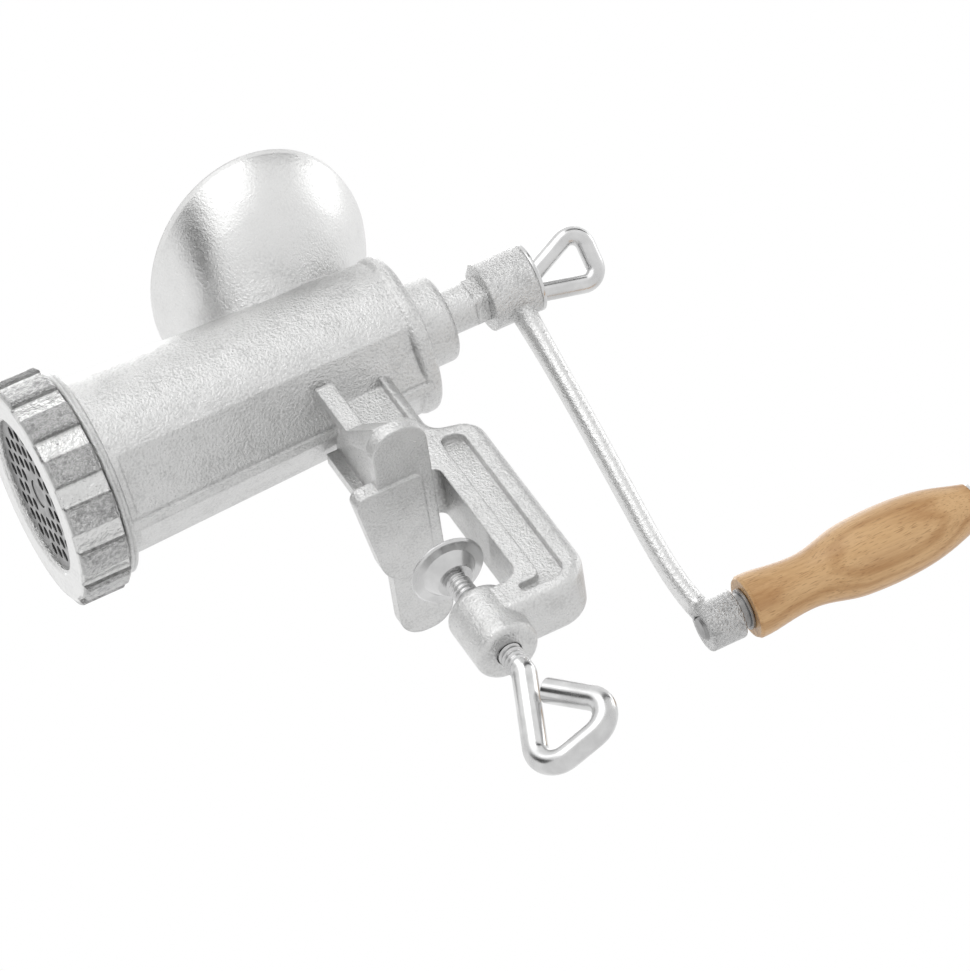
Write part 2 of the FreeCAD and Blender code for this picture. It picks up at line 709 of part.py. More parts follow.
def make_ring():
    """Ring nut with a front lip and raised lobes round its rim."""
    ring = rod_x(ring_valley_r, ring_front_x, ring_back_x)
    pitch_angle = 360.0 / ring_lobes
    lobes = []
    for i in range(ring_lobes):
        middle = math.radians(pitch_angle * (i + 0.5))
        half = math.radians(pitch_angle * ring_lobe_share / 2)
        foot = half * ring_foot_share
        inner_r = ring_valley_r - ring_lobe_rise
        corners = [
            lobe_point(inner_r, middle - foot),
            lobe_point(ring_valley_r, middle - foot),
            lobe_point(ring_lobe_r, middle - half),
            lobe_point(ring_lobe_r, middle + half),
            lobe_point(ring_valley_r, middle + foot),
            lobe_point(inner_r, middle + foot),
        ]
        crown = lobe_point(ring_lobe_r, middle)
        edges = [Part.makeLine(corners[n], corners[n + 1]) for n in (0, 1, 3, 4)]
        edges.insert(2, Part.Arc(corners[2], crown, corners[3]).toShape())
        edges.append(Part.makeLine(corners[5], corners[0]))
        lobes.append(Part.Face(Part.Wire(edges)).extrude(Vector(ring_length, 0, 0)))
    ring = ring.fuse(lobes)
    edge_cut = turn_profile([
        (ring_front_x - cut_past, ring_lobe_r + 2 * cut_past),
        (ring_front_x - cut_past, ring_valley_r),
        (ring_front_x, ring_valley_r),
        (ring_front_x + ring_lobe_rise, ring_lobe_r + ring_lobe_rise),
        (ring_front_x + ring_lobe_rise, ring_lobe_r + ring_lobe_rise + 2 * cut_past),
    ])
    back_cut = turn_profile([
        (ring_back_x + cut_past, ring_lobe_r + 2 * cut_past),
        (ring_back_x + cut_past, ring_lobe_r - ring_lobe_rise / 2),
        (ring_back_x, ring_lobe_r - ring_lobe_rise / 2),
        (ring_back_x - ring_lobe_rise, ring_lobe_r + ring_lobe_rise / 2),
        (ring_back_x - ring_lobe_rise, ring_lobe_r + 3 * cut_past),
    ])
    opening = rod_x(ring_opening_r, ring_front_x - cut_past, ring_back_x + cut_past)
    flare_r = ring_opening_r + ring_lip_chamfer
    flare = cone_x(flare_r, ring_opening_r, ring_front_x, ring_front_x + ring_lip_chamfer)
    seat = rod_x(plate_r + thread_gap, plate_front_x, ring_back_x + cut_past)
    thread_bore = rod_x(ring_bore_r, mouth_x - thread_gap, ring_back_x + cut_past)
    return ring.cut([edge_cut, back_cut, opening, flare, seat, thread_bore])


def lobe_point(radius, angle):
    """Point on the ring nut's front face at a radius and an angle."""
    return Vector(ring_front_x, radius * math.cos(angle), axis_z + radius * math.sin(angle))


def make_knife():
    """Four swept arms round a hub with a square hole."""
    hub = rod_x(knife_hub_r, knife_front_x, knife_back_x)
    half = knife_arm_width / 2
    arms = []
    for i in range(4):
        arm = slab_yz([
            (-half, 0.0, 0.0),
            (half, 0.0, 0.0),
            (half + knife_bevel, knife_reach * knife_elbow, 0.0),
            (half + knife_bevel * 2, knife_reach * knife_tip, knife_bevel),
            (-half * knife_sweep, knife_reach * knife_tip, knife_bevel),
            (half * (knife_taper - 1), knife_reach * knife_elbow, 0.0),
        ], knife_front_x, knife_back_x)
        relief = slab_xy([
            (knife_back_x, half * knife_sweep, 0.0),
            (knife_back_x + cut_past, half * knife_sweep, 0.0),
            (knife_back_x + cut_past, knife_arm_width * 2, 0.0),
            (knife_front_x + knife_bevel, knife_arm_width * 2, 0.0),
        ], 0.0, knife_reach * 2)
        arm = arm.cut(relief)
        arm.translate(Vector(0, 0, axis_z))
        arm.rotate(Vector(0, 0, axis_z), ALONG_X, 90 * i)
        arms.append(arm)
    knife = hub.fuse(arms)
    hole_size = stud_square + 2 * sliding_fit
    return knife.cut(square_bar(hole_size, knife_front_x - cut_past, knife_back_x + cut_past))


def square_bar(size, start, end):
    """Square bar on the barrel axis."""
    return Part.makeBox(end - start, size, size, Vector(start, -size / 2, axis_z - size / 2))


def make_stud():
    """Drive stud: pilot for the plate, square for the knife, root in the worm."""
    pilot = rod_x(stud_pilot_r, plate_front_x + stud_pilot_stand, knife_front_x)
    square = square_bar(stud_square, knife_front_x, knife_back_x)
    root = rod_x(stud_root_r, knife_back_x, knife_back_x + stud_root_length)
    return pilot.fuse([square, root])


def make_worm():
    """Feed screw with its flight, rear journal, square end and tapped hole."""
    core = cone_x(worm_root_front_r, worm_root_back_r, worm_front_x, thrust_front_x)
    length = thrust_front_x - worm_front_x
    inner_r = worm_root_front_r - flight_sink
    outer_r = bore_front_r + flight_overrun
    helix_r = (inner_r + outer_r) / 2
    helix = Part.makeHelix(flight_pitch, length + flight_pitch, helix_r)
    half = flight_thickness / 2
    corners = [
        Vector(inner_r, 0, -half * flight_foot_share),
        Vector(outer_r, 0, -half * flight_crest_share),
        Vector(outer_r, 0, half * flight_crest_share),
        Vector(inner_r, 0, half * flight_foot_share),
    ]
    corners.append(corners[0])
    flight = Part.Wire(helix).makePipeShell([Part.makePolygon(corners)], True, True)
    flight = point_x(flight, worm_front_x - flight_pitch / 2)
    front_r = bore_radius(worm_front_x) - worm_gap
    back_r = bore_radius(thrust_front_x) - worm_gap
    envelope = cone_x(front_r, back_r, worm_front_x + half, thrust_front_x - half)
    flight = flight.common(envelope)
    journal = rod_x(journal_r, thrust_front_x - thrust_washer_thickness, hub_front_x)
    end = square_bar(shaft_square, hub_front_x - hub_gap / 3, hub_back_x - sliding_fit * 4)
    end = end.common(rod_x(journal_r, hub_front_x - hub_gap / 3, hub_back_x))
    worm = core.fuse([flight, journal, end])
    stud_hole = rod_x(stud_root_r, worm_front_x - cut_past, worm_front_x + stud_root_length)
    tapped_end = hub_back_x - crank_screw_reach - crank_screw_runout
    tapped = rod_x(crank_screw_r + thread_gap, tapped_end, hub_back_x + cut_past)
    flats = []
    for turn in range(4):
        block = Part.makeBox(hub_gap / 3, journal_r * 2, journal_r,
                             Vector(hub_front_x - hub_gap / 3, -journal_r, axis_z + shaft_square / 2))
        block.rotate(Vector(0, 0, axis_z), ALONG_X, 90 * turn)
        flats.append(block)
    return worm.cut([stud_hole, tapped] + flats)


def turned_to_crank(shape):
    """Swing a shape drawn with the arm straight down to the crank's angle."""
    shape.rotate(Vector(0, 0, axis_z), ALONG_X, crank_angle)
    return shape


def arm_section(x, z, width, depth):
    """Oval section of the arm."""
    middle = Vector(x, 0, z)
    ellipse = Part.Ellipse(middle + Vector(0, depth / 2, 0), middle + Vector(width / 2, 0, 0), middle)
    return Part.Wire(ellipse.toShape())


def make_crank():
    """Crank with a square-holed hub, a gently bent arm and an end boss."""
    hub = rod_x(hub_r, hub_front_x, hub_back_x)
    flat = Part.makeBox(hub_length, hub_r * 2, hub_r, Vector(hub_front_x, -hub_r, axis_z + hub_flat))
    hub = hub.cut(flat)
    hub_middle_x = (hub_front_x + hub_back_x) / 2
    sections = []
    for share, sway, wide, deep in arm_stations:
        x = hub_middle_x + arm_offset * sway
        z = axis_z - crank_radius * share
        sections.append(arm_section(x, z, arm_width * wide, arm_depth * deep))
    arm = Part.makeLoft(sections, True, False)
    boss_z = axis_z - crank_radius
    boss = rod_x(end_boss_r, end_boss_front_x, end_boss_back_x, boss_z)
    rims = [e for e in boss.Edges if abs(e.BoundBox.XMax - e.BoundBox.XMin) < 1e-3]
    boss = boss.makeFillet(end_boss_round, rims)
    crank = hub.fuse([arm, boss])
    spindle_hole = rod_x(spindle_tail_r, end_boss_front_x - cut_past, end_boss_back_x + cut_past, boss_z)
    crank = turned_to_crank(crank.cut(spindle_hole))
    square_hole = square_bar(shaft_square + 2 * sliding_fit, hub_front_x - cut_past, hub_back_x + cut_past)
    round_hole = rod_x(journal_r + sliding_fit, hub_front_x - cut_past, hub_back_x + cut_past)
    return crank.cut(square_hole.common(round_hole))


def make_crank_washer():
    """Plain washer with rounded rim under the thumb screw."""
    disc = rod_x(crank_washer_r, hub_back_x, washer_back_x)
    rims = [e for e in disc.Edges if abs(e.BoundBox.XMax - e.BoundBox.XMin) < 1e-3]
    disc = disc.makeFillet(crank_washer_round, rims)
    return disc.cut(rod_x(crank_screw_r + thread_gap, hub_back_x - cut_past, washer_back_x + cut_past))


def make_crank_screw():
    """Thumb screw: threaded shank and a bent triangular wire loop."""
    neck = crank_washer_thickness + seat_gap
    plain = neck + crank_wire_r
    thread_length = crank_screw_reach - crank_screw_pitch
    shank = screw_thread(crank_screw_r, crank_screw_depth, crank_screw_pitch, thread_length, plain)
    shank.translate(Vector(0, 0, crank_screw_pitch))
    loop = wire_loop(-neck, neck, crank_loop_height, crank_loop_left, crank_loop_right, crank_loop_meet,
                     crank_loop_bend, crank_wire_r)
    screw = shank.fuse(loop)
    screw.rotate(Vector(0, 0, 0), ALONG_X, 180)
    point_x(screw, hub_back_x)
    screw.rotate(Vector(0, 0, axis_z), ALONG_X, 90 + crank_loop_turn)
    return screw


def crank_end(shape_function):
    """Build a piece on the spindle's axis below the hub, then swing it."""
    return turned_to_crank(shape_function(axis_z - crank_radius))


def make_spindle(height):
    """Riveted spindle with a shoulder and an outer head."""
    return turn_profile([
        (end_boss_front_x - spindle_peen, 0.0),
        (end_boss_front_x - spindle_peen, spindle_peen_r),
        (end_boss_front_x, spindle_tail_r),
        (end_boss_back_x, spindle_tail_r),
        (end_boss_back_x, spindle_shoulder_r),
        (shoulder_back_x, spindle_shoulder_r),
        (shoulder_back_x, spindle_r),
        (head_x, spindle_r),
        (head_x, spindle_head_r),
        (head_x + spindle_head_rim, spindle_head_r),
        (head_x + spindle_head - spindle_crown, spindle_head_r - spindle_crown),
        (head_x + spindle_head, spindle_crown_r),
        (head_x + spindle_head, 0.0),
    ], height)


def grip_washer(height, start):
    """Thin washer on the spindle."""
    disc = rod_x(grip_washer_r, start, start + grip_washer_thickness, height)
    return disc.cut(rod_x(spindle_r, start - cut_past, start + grip_washer_thickness + cut_past, height))


def make_grip(height):
    """Turned wooden grip: flared near end, waist, belly and narrow far end."""
    stretches = [
        (grip_near_r, grip_waist_r, grip_flare),
        (grip_waist_r, grip_belly_r, grip_swell),
        (grip_belly_r, grip_far_r, grip_taper),
    ]
    points = [Vector(grip_front_x, 0, height + grip_near_r - grip_edge)]
    for first_r, last_r, stations in stretches:
        for place, share in stations:
            radius = first_r + (last_r - first_r) * share
            points.append(Vector(grip_front_x + place * grip_length, 0, height + radius))
    curve = Part.BSplineCurve()
    curve.interpolate(points[1:])
    start = Vector(grip_front_x, 0, height)
    end = Vector(grip_back_x, 0, height)
    wire = Part.Wire([
        Part.makeLine(start, points[0]),
        Part.makeLine(points[0], points[1]),
        curve.toShape(),
        Part.makeLine(points[-1], end),
        Part.makeLine(end, start),
    ])
    wood = Part.Face(wire).revolve(start, ALONG_X, 360)
    return wood.cut(rod_x(spindle_r + running_fit, grip_front_x - cut_past, grip_back_x + cut_past, height))


def make_pad():
    """Swivel pad: a flat disc with a conical hub round the rod below it."""
    hole_r = rod_r - rod_thread_depth + running_fit
    under_z = pad_z - pad_thickness
    corners = [
        Vector(hole_r, 0, pad_z),
        Vector(pad_r - pad_thickness / 3, 0, pad_z),
        Vector(pad_r, 0, pad_z - pad_thickness / 3),
        Vector(pad_r, 0, under_z + pad_thickness / 3),
        Vector(pad_r - pad_thickness / 3, 0, under_z),
        Vector(pad_hub_foot_r, 0, under_z - pad_thickness / 3),
        Vector(pad_hub_r, 0, under_z - pad_hub_height),
        Vector(hole_r, 0, under_z - pad_hub_height),
    ]
    corners.append(corners[0])
    return Part.Face(Part.makePolygon(corners)).revolve(Vector(0, 0, 0), ALONG_Z, 360)


def make_pad_rivet():
    """Peened button on the rod's end that keeps the pad on."""
    low_z = pad_z + seat_gap
    corners = [
        Vector(rod_r - rod_thread_depth, 0, low_z),
        Vector(pad_rivet_r, 0, low_z),
        Vector(pad_rivet_r, 0, low_z + pad_rivet_height / 2),
        Vector(rod_r, 0, low_z + pad_rivet_height),
        Vector(rod_r - rod_thread_depth, 0, low_z + pad_rivet_height),
    ]
    corners.append(corners[0])
    return Part.Face(Part.makePolygon(corners)).revolve(Vector(0, 0, 0), ALONG_Z, 360)


def make_clamp_screw():
    """Threaded rod with its pad journal on top and a bent loop below."""
    thread_top_z = pad_z - pad_thickness - pad_hub_height - seat_gap
    thread_length = thread_top_z - tail_z - rod_thread_pitch
    rod = screw_thread(rod_r, rod_thread_depth, rod_thread_pitch, thread_length, clamp_wire_r)
    rod.translate(Vector(0, 0, tail_z + rod_thread_pitch))
    journal = Part.makeCylinder(rod_r - rod_thread_depth, rod_top_z + seat_gap - thread_top_z,
                                Vector(0, 0, thread_top_z))
    loop = wire_loop(tail_z, rod_thread_pitch / 2, clamp_loop_height, clamp_loop_left, clamp_loop_right,
                     clamp_loop_meet, clamp_loop_bend, clamp_wire_r)
    screw = rod.fuse([journal, loop])
    screw.rotate(Vector(0, 0, 0), ALONG_Z, clamp_loop_turn)
    return screw


os.makedirs("parts", exist_ok=True)

export("body_casting", make_body())
export("plate_pin", plate_pin_shape())
export("ring_nut", make_ring())
export("grinding_plate", make_plate())
export("knife", make_knife())
export("knife_stud", make_stud())
export("feed_screw", make_worm())
export("thrust_washer", rod_x(thrust_washer_r, thrust_front_x, bore_back_x).cut(
    rod_x(journal_r + running_fit, thrust_front_x - cut_past, bore_back_x + cut_past)))
export("crank_arm", make_crank())
export("crank_washer", make_crank_washer())
export("crank_screw", make_crank_screw())
export("grip_spindle", crank_end(make_spindle))
export("grip_inner_washer", crank_end(lambda height: grip_washer(height, shoulder_back_x)))
export("wooden_grip", crank_end(make_grip))
export("grip_end_washer", crank_end(lambda height: grip_washer(height, end_washer_x)))
export("clamp_pad", make_pad())
export("pad_rivet", make_pad_rivet())
export("clamp_screw", make_clamp_screw())
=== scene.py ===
import math

import bpy
from bpy.props import FloatProperty, FloatVectorProperty, PointerProperty
from mathutils import Matrix, Vector


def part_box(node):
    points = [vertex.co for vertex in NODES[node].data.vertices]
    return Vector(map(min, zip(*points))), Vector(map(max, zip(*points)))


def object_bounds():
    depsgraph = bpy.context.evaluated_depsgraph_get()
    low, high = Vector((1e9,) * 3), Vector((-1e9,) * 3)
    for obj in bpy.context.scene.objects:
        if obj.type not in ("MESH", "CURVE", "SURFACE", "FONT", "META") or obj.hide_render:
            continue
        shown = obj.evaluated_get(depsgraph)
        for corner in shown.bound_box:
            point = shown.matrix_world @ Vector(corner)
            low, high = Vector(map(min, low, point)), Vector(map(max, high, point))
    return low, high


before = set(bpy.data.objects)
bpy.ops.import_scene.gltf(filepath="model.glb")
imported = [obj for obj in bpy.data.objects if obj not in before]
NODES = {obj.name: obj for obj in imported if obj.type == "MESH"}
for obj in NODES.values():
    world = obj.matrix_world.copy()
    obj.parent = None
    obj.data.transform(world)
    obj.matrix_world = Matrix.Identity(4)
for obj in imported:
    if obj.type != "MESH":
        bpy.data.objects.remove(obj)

bl_info = {
    "name": "Hand Crank Meat Grinder",
    "version": (1, 0, 0),
    "blender": (4, 5, 0),
    "location": "View3D > Sidebar > Grinder",
    "description": "Finishes and stages a tinned hand crank meat grinder",
    "category": "Object",
}

CAD_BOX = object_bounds()
RING_LOW, RING_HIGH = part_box("ring_nut")
AXIS_HEIGHT = (RING_LOW.z + RING_HIGH.z) / 2
OBJECT_MIDDLE = (Vector(CAD_BOX[0]) + Vector(CAD_BOX[1])) / 2
IMAGE_WIDTH = 970

UNIT = (0.0, 1.0)
WHITE = (1.0, 1.0, 1.0, 1.0)

# Sockets of the Mix node that carry colours
MIX_FIRST = 6
MIX_SECOND = 7
MIX_RESULT = 2

# Sand grain of the castings: fine grains over wide blotches
GRAIN_DETAIL = 3.0
BLOTCH_DETAIL = 4.0
BLOTCH_SCALE = 0.09
SAND_ROUGHNESS = 0.6
GRAIN_SHARE = 0.6
BLOTCH_SHARE = 0.4
BLOTCH_HEIGHT = 0.8
ROUGH_HEIGHT = 2.6

# Tin over the sand grain: the grain's hollows get painted shade, the rough parts get painted shade over their
# own duller tin, and high places keep the bright tin and the lowest roughness
HOLLOW_BAND = (0.36, 0.52)
HOLLOW_SHADE_SHARES = (0.05, 0.50)
ROUGH_SHADE = 0.48
GLOSS_BAND = (0.3, 0.7)
HOLLOW_DULLING = 0.12
HIGH_POLISH = 0.06
EDGE_SAMPLES = 4

# Body: heights over the barrel's axis, and how rough the skin is at each end of them; the rough share also
# sets the painted shade
HOPPER_HEIGHTS = (AXIS_HEIGHT + 0.02, AXIS_HEIGHT + 0.034)
HOPPER_COARSE = (0.52, 0.12)
CLAMP_HEIGHTS = (AXIS_HEIGHT - 0.06, AXIS_HEIGHT - 0.035)
CLAMP_COARSE = (0.85, 1.0)

# Ring nut: radii where the face gives way to the lobes, and depths behind the turned face
LOBE_RADII = (0.0386, 0.0396)
LOBE_COARSE = (0.25, 1.0)
TURNED_DEPTHS = (RING_LOW.x + 0.0003, RING_LOW.x + 0.0012)
TURNED_RELIEF = (0.08, 1.0)

# Crank: radii where the hub ends and where the end boss begins
HUB_RADII = (0.012, 0.020)
HUB_COARSE = (0.66, 0.22)
BOSS_RADII = (0.130, 0.136)
BOSS_COARSE = (0.0, 0.95)

# Steel: a faint mottle in tone and gloss
STEEL_DETAIL = 3.0
STEEL_ROUGHNESS = 0.55
STEEL_DARKER = 0.82
STEEL_BAND = (0.35, 0.65)
STEEL_DULLER = 1.35
STEEL_BRIGHTER = 0.8

# Beech: each figure's squeeze along the grip, scale, detail and roughness
RING_WAVER = (0.12, 60.0, 2.0, 0.5)
STREAKS = (0.06, 1100.0, 4.0, 0.65)
CLOUDS = (0.3, 110.0, 2.0, 0.5)
FLECKS = (0.10, 2600.0, 1.0, 0.4)
RING_SLANT = 0.55
RING_WAVER_WIDTH = 0.016
RING_BAND = (-0.2, 1.0)
RING_SHARE = 0.55
FIGURE_BAND = (0.35, 0.7)
CLOUD_SHARES = (-0.15, 0.45)
STREAK_SHARES = (-0.1, 0.4)
FLECK_BAND = (0.58, 0.72)
FLECK_SHARES = (0.0, 0.55)
VARNISH_SPECULAR = 0.4
STREAK_DEPTH = 0.00005

# Camera: its axes to the image's right, to the image's top and back from the object
IMAGE_TOP = Vector((0.3968, -0.6941, 0.6006))
VIEW_RIGHT = Vector((0.8830, 0.1105, -0.4559)).normalized()
VIEW_UP = (IMAGE_TOP - VIEW_RIGHT * IMAGE_TOP.dot(VIEW_RIGHT)).normalized()
VIEW_BACK = VIEW_RIGHT.cross(VIEW_UP)
AIM = Vector((-0.102, 0.0, AXIS_HEIGHT))
CLIP_NEAR = 0.1
CLIP_FAR = 30.0

# Lamps: direction along the camera's axes, distance and side
VIEW_LAMPS = {
    "key": ((-0.4, 0.8, 0.6), 1.1, 1.0),
    "fill": ((0.7, -0.2, 1.0), 1.4, 1.0),
    "back": ((0.8, 0.7, -0.5), 1.2, 0.6),
}
TOP_DIRECTION = Vector((0.1, 0.3, 1.0))
TOP_DISTANCE = 1.4
TOP_SIDE = 1.0

# Cards: direction along the camera's axes, width, height and tone
CARDS = {
    "low": ((0.0, -0.95, 0.35), 0.9, 0.16, 0.10),
    "side": ((-0.9, 0.0, 0.6), 0.4, 1.0, 0.05),
    "high": ((0.35, 0.9, -0.1), 1.2, 0.22, 0.04),
    "far": ((0.95, -0.3, 0.15), 0.24, 1.0, 0.04),
}
CARD_DISTANCE = 0.9

FLOOR_ROUGHNESS = 0.9
FLOOR_SPECULAR = 0.1

PLATED_PIECES = ("crank_screw", "clamp_screw", "crank_washer", "clamp_pad", "pad_rivet", "grip_end_washer")
GROUND_PIECES = ("grinding_plate", "knife", "knife_stud", "plate_pin", "thrust_washer", "grip_spindle",
                 "grip_inner_washer")


def colour(name, about, default):
    """A colour property for a finish."""
    return FloatVectorProperty(name=name, description=about, default=default, size=3,
                               subtype="COLOR", min=0.0, max=1.0)


def share(name, about, default):
    """A property between nought and one."""
    return FloatProperty(name=name, description=about, default=default, min=0.0, max=1.0,
                         subtype="FACTOR")


def ratio(name, about, default):
    """A property of one or more, without a unit."""
    return FloatProperty(name=name, description=about, default=default, min=1.0)


def length(name, about, default):
    """A length property in metres."""
    return FloatProperty(name=name, description=about, default=default, min=0.0,
                         subtype="DISTANCE", unit="LENGTH")


def power(name, about, default):
    """A lamp's power property."""
    return FloatProperty(name=name, description=about, default=default, min=0.0,
                         subtype="POWER", unit="POWER")


class CastingFinish(bpy.types.PropertyGroup):
    """Sizes and colours of the tinned castings."""

    tin: colour("Tin", "Bright tin over the iron", (0.80, 0.80, 0.795))
    # Dark colour mixed in as painted shade in the grain's hollows and on the rough parts, over the rough
    # tin's own duller skin
    dull_and_shade: colour("Dull tin", "Tin in the hollows of the grain", (0.33, 0.33, 0.33))
    gloss: share("Roughness", "Roughness of the tinned face", 0.30)
    grain: length("Grain", "Width of one bump of the sand grain", 0.0009)
    depth: length("Grain depth", "Height of the sand grain", 0.00034)
    ring_grit: ratio("Ring grit", "Grain width on the ring nut over the body's", 1.8)
    crank_grit: ratio("Crank grit", "Grain width on the crank over the body's", 1.15)
    calm: share("Smooth grain", "Share of the grain left on the smooth parts", 0.07)
    edge: length("Edge round", "Softening of the cast edges", 0.0012)


class SteelFinish(bpy.types.PropertyGroup):
    """Sizes and colours of the plated and the ground steel pieces."""

    plated: colour("Plate", "Bright plating", (0.72, 0.72, 0.72))
    ground: colour("Ground steel", "Ground tool steel", (0.36, 0.36, 0.36))
    plated_gloss: share("Plating roughness", "Roughness of the plating", 0.22)
    ground_gloss: share("Steel roughness", "Roughness of the ground steel", 0.32)
    plated_mottle: ratio("Plating mottle", "Mottles in a metre of the plating", 90.0)
    ground_mottle: ratio("Steel mottle", "Mottles in a metre of the ground steel", 260.0)
    edge: length("Edge round", "Softening of the steel edges", 0.0003)


class WoodFinish(bpy.types.PropertyGroup):
    """Sizes and colours of the turned beech grip."""

    light: colour("Light wood", "Wood between the growth rings", (0.74, 0.47, 0.232))
    dark: colour("Dark wood", "Growth rings", (0.52, 0.28, 0.115))
    fleck: colour("Fleck", "Short dark flecks along the grain", (0.33, 0.155, 0.055))
    varnish: share("Varnish roughness", "Roughness of the satin varnish", 0.32)
    ring: length("Ring spacing", "Distance between growth rings", 0.006)


class StageSizes(bpy.types.PropertyGroup):
    """Camera, lamps and floor."""

    distance: length("Camera distance", "Camera to the ring nut's face", 2.5)
    across: length("Camera across", "Camera's place along the image's width", 0.1522)
    rise: length("Camera rise", "Camera's place along the image's height", 0.0032)
    focal_pixels: FloatProperty(name="Focal length", description="Focal length in image pixels",
                                default=7375.0, min=1.0, subtype="PIXEL")
    sensor: FloatProperty(name="Sensor width", description="Sensor width in millimetres",
                          default=36.0, min=1.0, subtype="DISTANCE_CAMERA", unit="CAMERA")
    floor: length("Floor size", "Side of the square floor", 8.0)
    floor_drop: length("Floor drop", "Room under the clamp handle for its travel", 0.018)
    floor_colour: colour("Floor colour", "Plain pale floor", (0.86, 0.86, 0.86))
    floor_glow: share("Floor glow", "How white the floor looks under the object", 0.7)
    floor_clear: length("Shadow reach", "Distance within which the floor shows shadows", 0.3)
    floor_fade: length("Fade reach", "Distance at which the floor is plain white", 1.1)
    key: power("Key lamp", "Large lamp above the image's left", 3.0)
    fill: power("Fill lamp", "Large lamp beside the camera", 2.2)
    back: power("Back lamp", "Lamp behind the object", 1.6)
    top: power("Top lamp", "Large lamp over the floor", 4.0)
    ambient: share("Ambient", "Even light from all round", 0.62)


def new_material(name):
    """An empty node material, its tree and its surface shader."""
    material = bpy.data.materials.new(name)
    material.use_nodes = True
    tree = material.node_tree
    return material, tree, tree.nodes["Principled BSDF"]


def add_node(tree, kind, **settings):
    """Add one node and set its plain attributes and its inputs by name."""
    node = tree.nodes.new(kind)
    for key, value in settings.items():
        if hasattr(node, key):
            setattr(node, key, value)
        else:
            node.inputs[key].default_value = value
    return node


def fill_sockets(tree, pairs):
    """Link each socket to a value that is a socket too, or set it to a plain value."""
    for value, socket in pairs:
        if isinstance(value, bpy.types.NodeSocket):
            tree.links.new(value, socket)
        else:
            socket.default_value = value


def object_place(tree, scale=(1.0, 1.0, 1.0)):
    """Object coordinates, times scale."""
    place = add_node(tree, "ShaderNodeTexCoord")
    mapping = add_node(tree, "ShaderNodeMapping", Scale=scale)
    tree.links.new(place.outputs["Object"], mapping.inputs["Vector"])
    return mapping.outputs["Vector"]


def axes(tree, place):
    """The X, Y and Z outputs of a place."""
    parts = add_node(tree, "ShaderNodeSeparateXYZ")
    tree.links.new(place, parts.inputs["Vector"])
    return parts.outputs


def noise(tree, place, scale, detail, roughness):
    """Noise texture of a given scale on a place."""
    node = add_node(tree, "ShaderNodeTexNoise", Scale=scale, Detail=detail, Roughness=roughness)
    tree.links.new(place, node.inputs["Vector"])
    return node.outputs["Fac"]


def spread(tree, value, given, wanted):
    """Map a value from a given range to a wanted one, clamped."""
    node = add_node(tree, "ShaderNodeMapRange", clamp=True)
    limits = ("From Min", "From Max", "To Min", "To Max")
    for limit, number in zip(limits, (*given, *wanted)):
        node.inputs[limit].default_value = number
    tree.links.new(value, node.inputs["Value"])
    return node.outputs["Result"]


def mix_colours(tree, factor, first, second):
    """Mix two colours, each a plain colour or a socket."""
    node = add_node(tree, "ShaderNodeMix", data_type="RGBA")
    tree.links.new(factor, node.inputs["Factor"])
    fill_sockets(tree, ((first, node.inputs[MIX_FIRST]), (second, node.inputs[MIX_SECOND])))
    return node.outputs[MIX_RESULT]


def opaque(tint):
    """A plain colour with full alpha."""
    return (*tint, 1.0)


def combine(tree, operation, first, second=0.0):
    """Math node on sockets or numbers; some operations use the first alone."""
    node = add_node(tree, "ShaderNodeMath", operation=operation)
    fill_sockets(tree, ((first, node.inputs[0]), (second, node.inputs[1])))
    return node.outputs[0]


def bump(tree, height, distance):
    """Bump node from a height socket."""
    node = add_node(tree, "ShaderNodeBump", Strength=1.0, Distance=distance)
    tree.links.new(height, node.inputs["Height"])
    return node


def soft_edge(tree, radius):
    """Normal that rounds the edges off."""
    return add_node(tree, "ShaderNodeBevel", samples=EDGE_SAMPLES, Radius=radius).outputs["Normal"]


def axis_radius(tree, place):
    """Distance from the barrel's axis."""
    parts = axes(tree, place)
    rise = combine(tree, "SUBTRACT", parts["Z"], AXIS_HEIGHT)
    squares = combine(tree, "ADD", combine(tree, "MULTIPLY", rise, rise),
                      combine(tree, "MULTIPLY", parts["Y"], parts["Y"]))
    return combine(tree, "SQRT", squares)


